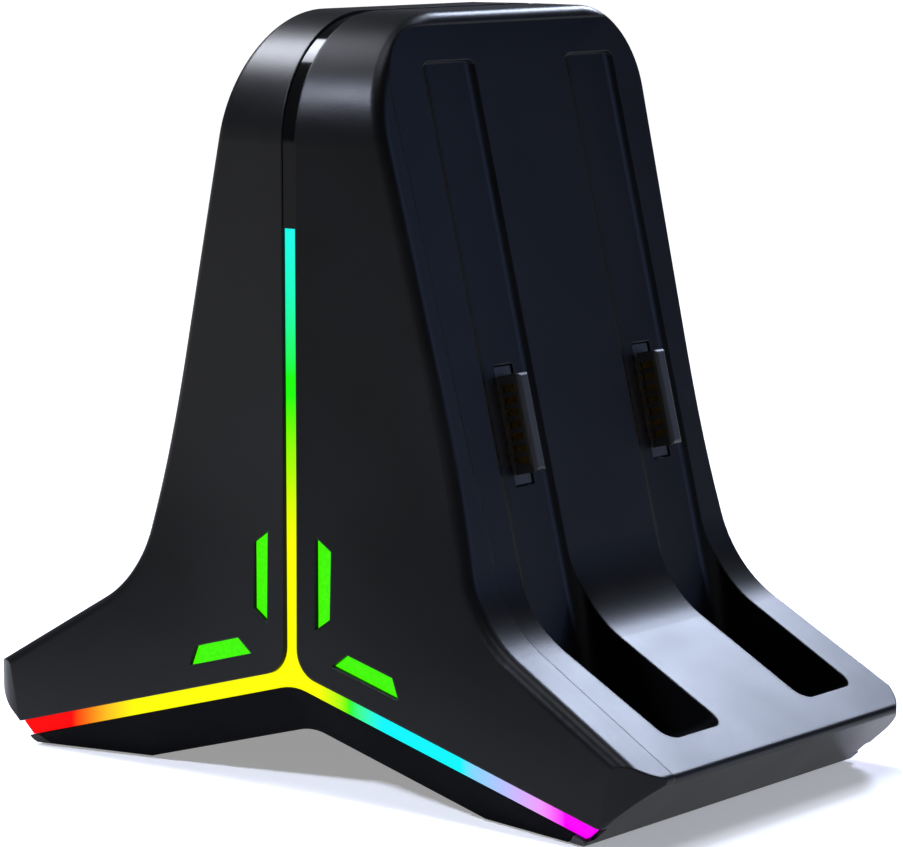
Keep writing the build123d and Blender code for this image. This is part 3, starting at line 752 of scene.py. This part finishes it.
@dataclass
class Power:
    """Main board with its chips, the power socket and the ribbon cables."""

    chip_grain: float = 0.3
    chip_grain_depth: float = 0.02
    chip_edge: float = 0.1
    tongue_grain: float = 0.4
    tongue_grain_depth: float = 0.01
    tongue_edge: float = 0.1
    socket_scuff: float = 0.9
    conductor_pitch: float = 1.0
    film: str = "#DAD9D2"
    conductor: str = "#A9AAA8"

    def parts(self) -> list[Dressing]:
        """Board, chips, socket and cables with their finishes."""
        chip = MouldedAbs(
            "epoxy_chip_package",
            dark="#161616",
            light="#1E1E1E",
            roughness=0.6,
            specular=0.4,
            grain=self.chip_grain,
            grain_depth=self.chip_grain_depth,
            edge_round=self.chip_edge,
        )
        socket = PlatedMetal(
            "nickel_plated_steel",
            dark="#A8A6A0",
            light="#C4C2BC",
            roughness=0.3,
            scuff=self.socket_scuff,
        )
        tongue = MouldedAbs(
            "black_nylon",
            dark="#101010",
            light="#161616",
            roughness=0.5,
            specular=0.4,
            grain=self.tongue_grain,
            grain_depth=self.tongue_grain_depth,
            edge_round=self.tongue_edge,
        )
        side_film = PolyesterFilm(
            "polyester_ribbon_side",
            film=self.film,
            conductor=self.conductor,
            pitch=self.conductor_pitch,
            across=Across.Y,
        )
        front_film = PolyesterFilm(
            "polyester_ribbon_front",
            film=self.film,
            conductor=self.conductor,
            pitch=self.conductor_pitch,
            across=Across.X,
        )
        return [
            Dressing(("main_board",), BOARD),
            Dressing(("control_chip", "charge_chips"), chip),
            Dressing(("power_socket_shell",), socket),
            Dressing(("power_socket_tongue",), tongue),
            Dressing(("right_ribbon", "left_ribbon"), side_film),
            Dressing(("front_ribbon", "rear_ribbon"), front_film),
            Dressing(("main_board_screws",), SCREW),
        ]


@dataclass
class Charging:
    """Charging tongues with their contacts, and the boards and magnets behind the side walls."""

    tongue_grain: float = 0.4
    tongue_grain_depth: float = 0.012
    tongue_edge: float = 0.15
    contact_scuff: float = 0.5
    magnet_scuff: float = 1.5

    def parts(self) -> list[Dressing]:
        """Tongues, contacts, boards and magnets with their finishes."""
        bays = ("right_front", "right_rear", "left_front", "left_rear")
        tongue = MouldedAbs(
            "black_glass_nylon",
            dark="#0E0E0F",
            light="#141415",
            roughness=0.5,
            specular=0.3,
            grain=self.tongue_grain,
            grain_depth=self.tongue_grain_depth,
            edge_round=self.tongue_edge,
        )
        gold = PlatedMetal(
            "gold_plated_contact",
            dark="#D9A94A",
            light="#F0C468",
            roughness=0.2,
            scuff=self.contact_scuff,
        )
        magnet = PlatedMetal(
            "nickel_plated_magnet",
            dark="#B4B2AC",
            light="#CFCDC8",
            roughness=0.22,
            scuff=self.magnet_scuff,
        )
        return [
            Dressing(tuple(f"{bay}_tongue" for bay in bays), tongue),
            Dressing(tuple(f"{bay}_contacts" for bay in bays), gold),
            Dressing(("right_contact_board", "left_contact_board"), BOARD),
            Dressing(("right_magnets", "left_magnets"), magnet),
            Dressing(("right_contact_screws", "left_contact_screws"), SCREW),
        ]


@dataclass(frozen=True)
class Softbox:
    """Soft lamp that faces the dock from a direction."""

    name: str
    azimuth: float
    elevation: float
    distance: float
    width: float
    height: float
    power: float
    colour: str
    aim: tuple[float, float, float] = (0.0, 0.0, 64.5)
    spread: float = 180.0

    def build(self) -> bpy.types.Object:
        """Adds the lamp.

        Returns:
            The lamp object.
        """
        data = bpy.data.lights.new(self.name, "AREA")
        data.shape = "RECTANGLE"
        data.size = self.width * MM
        data.size_y = self.height * MM
        data.energy = self.power
        data.color = linear(self.colour)[:3]
        data.spread = radians(self.spread)
        lamp = bpy.data.objects.new(self.name, data)
        bpy.context.collection.objects.link(lamp)
        back = direction(self.azimuth, self.elevation)
        place = (Vector(self.aim) + back * self.distance) * MM
        lamp.matrix_world = Matrix.Translation(place) @ facing(back)
        return lamp


def direction(azimuth: float, elevation: float) -> Vector:
    """Unit vector towards a place, with azimuth 0 at the front and 90 at the right, in degrees."""
    turn, rise = radians(azimuth), radians(elevation)
    return Vector((sin(turn) * cos(rise), -cos(turn) * cos(rise), sin(rise)))


def facing(back: Vector) -> Matrix:
    """Rotation of a camera or lamp that looks against a vector, with its top upwards."""
    right = Vector((0, 0, 1)).cross(back).normalized()
    top = back.cross(right)
    return Matrix((right, top, back)).transposed().to_4x4()


@dataclass
class Stage:
    """Table, lamps, surroundings and camera."""

    table_half: float = 6000.0
    table_steps: int = 24
    table_colour: str = "#F2F2F2"
    table_roughness: float = 0.9
    glow_colour: str = "#FFFFFF"
    near_glow: float = 0.32
    far_glow: float = 1.0
    near: float = 190.0
    far: float = 520.0
    surround: str = "#C8CCD6"
    surround_strength: float = 0.12
    look_at: tuple[float, float, float] = (0.0, 0.0, 64.5)
    azimuth: float = 38.23
    elevation: float = 8.16
    distance: float = 662.4
    shift_right: float = 1.96
    shift_up: float = -6.82
    lens: float = 154.6
    sensor: float = 36.0
    lamps: list[Softbox] = field(
        default_factory=lambda: [
            # Even light from above.
            Softbox(
                "top_box",
                azimuth=20,
                elevation=78,
                distance=900,
                width=520,
                height=420,
                power=5.0,
                colour="#F0F3FF",
            ),
            # Sheen on the platforms and the top edges.
            Softbox(
                "back_box",
                azimuth=-170,
                elevation=35,
                distance=900,
                width=220,
                height=160,
                power=0.9,
                colour="#D8E4FF",
                aim=(20.0, 0.0, 60.0),
                spread=60.0,
            ),
            # Highlight on the left shoulder and glint on the trim.
            Softbox(
                "left_box",
                azimuth=-90,
                elevation=43,
                distance=800,
                width=320,
                height=260,
                power=0.7,
                colour="#EEF2FF",
                aim=(-8.0, -36.0, 114.0),
                spread=40.0,
            ),
            # Highlight on the right shoulder.
            Softbox(
                "front_box",
                azimuth=-31,
                elevation=35,
                distance=800,
                width=120,
                height=120,
                power=0.45,
                colour="#E0E8FF",
                aim=(8.0, -36.0, 114.0),
                spread=40.0,
            ),
            # Cool light on the right side.
            Softbox(
                "side_box",
                azimuth=122,
                elevation=14,
                distance=1000,
                width=560,
                height=420,
                power=2.4,
                colour="#A0BCFF",
            ),
        ]
    )

    def build_table(self) -> bpy.types.Object:
        """Builds the table top.

        A level grid: x and y run evenly over the table, and z is zero.

        Returns:
            The table object.
        """
        ticks = np.linspace(-self.table_half, self.table_half, self.table_steps + 1) * MM
        x, y = np.meshgrid(ticks, ticks)
        points = np.column_stack([x.ravel(), y.ravel(), np.zeros(x.size)])
        count = self.table_steps + 1
        corner = (np.arange(count - 1)[:, None] * count + np.arange(count - 1)).ravel()
        faces = np.column_stack([corner, corner + 1, corner + count + 1, corner + count])
        mesh = bpy.data.meshes.new("table")
        mesh.from_pydata(points.tolist(), [], faces.tolist())
        mesh.materials.append(self.table_material())
        table = bpy.data.objects.new("table", mesh)
        bpy.context.collection.objects.link(table)
        return table

    def table_material(self) -> bpy.types.Material:
        """Makes the white matt table.

        Returns:
            Matt paint that takes shadows, brightened for direct and mirrored views so that it
            reads as white.
        """
        made, tree, shader = start_material(
            "white_matt_table",
            {
                "Base Color": linear(self.table_colour),
                "Roughness": self.table_roughness,
                "Specular IOR Level": 0.0,
                "Emission Color": linear(self.glow_colour),
            },
        )
        path = add_node(tree, "ShaderNodeLightPath")
        mirrored = add_node(
            tree,
            "ShaderNodeMath",
            links={0: path.outputs["Is Glossy Ray"], 1: path.outputs["Is Transmission Ray"]},
            operation="MAXIMUM",
        )
        seen = add_node(
            tree,
            "ShaderNodeMath",
            links={0: path.outputs["Is Camera Ray"], 1: mirrored.outputs[0]},
            operation="MAXIMUM",
        )
        place = add_node(tree, "ShaderNodeTexCoord").outputs["Object"]
        reach = add_node(tree, "ShaderNodeVectorMath", links={0: place}, operation="LENGTH")
        level = add_node(
            tree,
            "ShaderNodeMapRange",
            {1: self.near * MM, 2: self.far * MM, 3: self.near_glow, 4: self.far_glow},
            {0: reach.outputs["Value"]},
            interpolation_type="SMOOTHSTEP",
        )
        glow = add_node(
            tree,
            "ShaderNodeMath",
            links={0: seen.outputs[0], 1: level.outputs["Result"]},
            operation="MULTIPLY",
        )
        tree.links.new(glow.outputs[0], shader.inputs["Emission Strength"])
        return made

    def build_surroundings(self) -> None:
        """Sets the dim even light of the room."""
        world = bpy.data.worlds.new("room")
        world.use_nodes = True
        background = world.node_tree.nodes["Background"]
        background.inputs["Color"].default_value = linear(self.surround)
        background.inputs["Strength"].default_value = self.surround_strength
        bpy.context.scene.world = world

    def build_camera(self) -> None:
        """Sets the camera to the photograph's view."""
        data = bpy.data.cameras.new("camera")
        data.sensor_fit = "HORIZONTAL"
        data.sensor_width = self.sensor
        data.lens = self.lens
        camera = bpy.data.objects.new("camera", data)
        bpy.context.collection.objects.link(camera)
        back = direction(self.azimuth, self.elevation)
        turn = facing(back)
        moved = turn @ Vector((self.shift_right, self.shift_up, self.distance)) * MM
        camera.matrix_world = Matrix.Translation(Vector(self.look_at) * MM + moved) @ turn
        bpy.context.scene.camera = camera

    def build(self) -> None:
        """Builds the whole stage."""
        self.build_table()
        self.build_surroundings()
        for lamp in self.lamps:
            lamp.build()
            LOG.info("lamp %s", lamp.name)
        self.build_camera()
        bpy.context.scene.view_settings.view_transform = "Standard"


def main() -> None:
    """Loads the frame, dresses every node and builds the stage."""
    logging.basicConfig(level=logging.INFO, format="%(name)s: %(message)s")
    for thing in list(bpy.data.objects):
        bpy.data.objects.remove(thing)
    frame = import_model()
    for assembly in (Tower(), LightStrips(), Base(), Power(), Charging()):
        for part in assembly.parts():
            part.dress(frame)
    Stage().build()


if __name__ == "__main__":
    main()
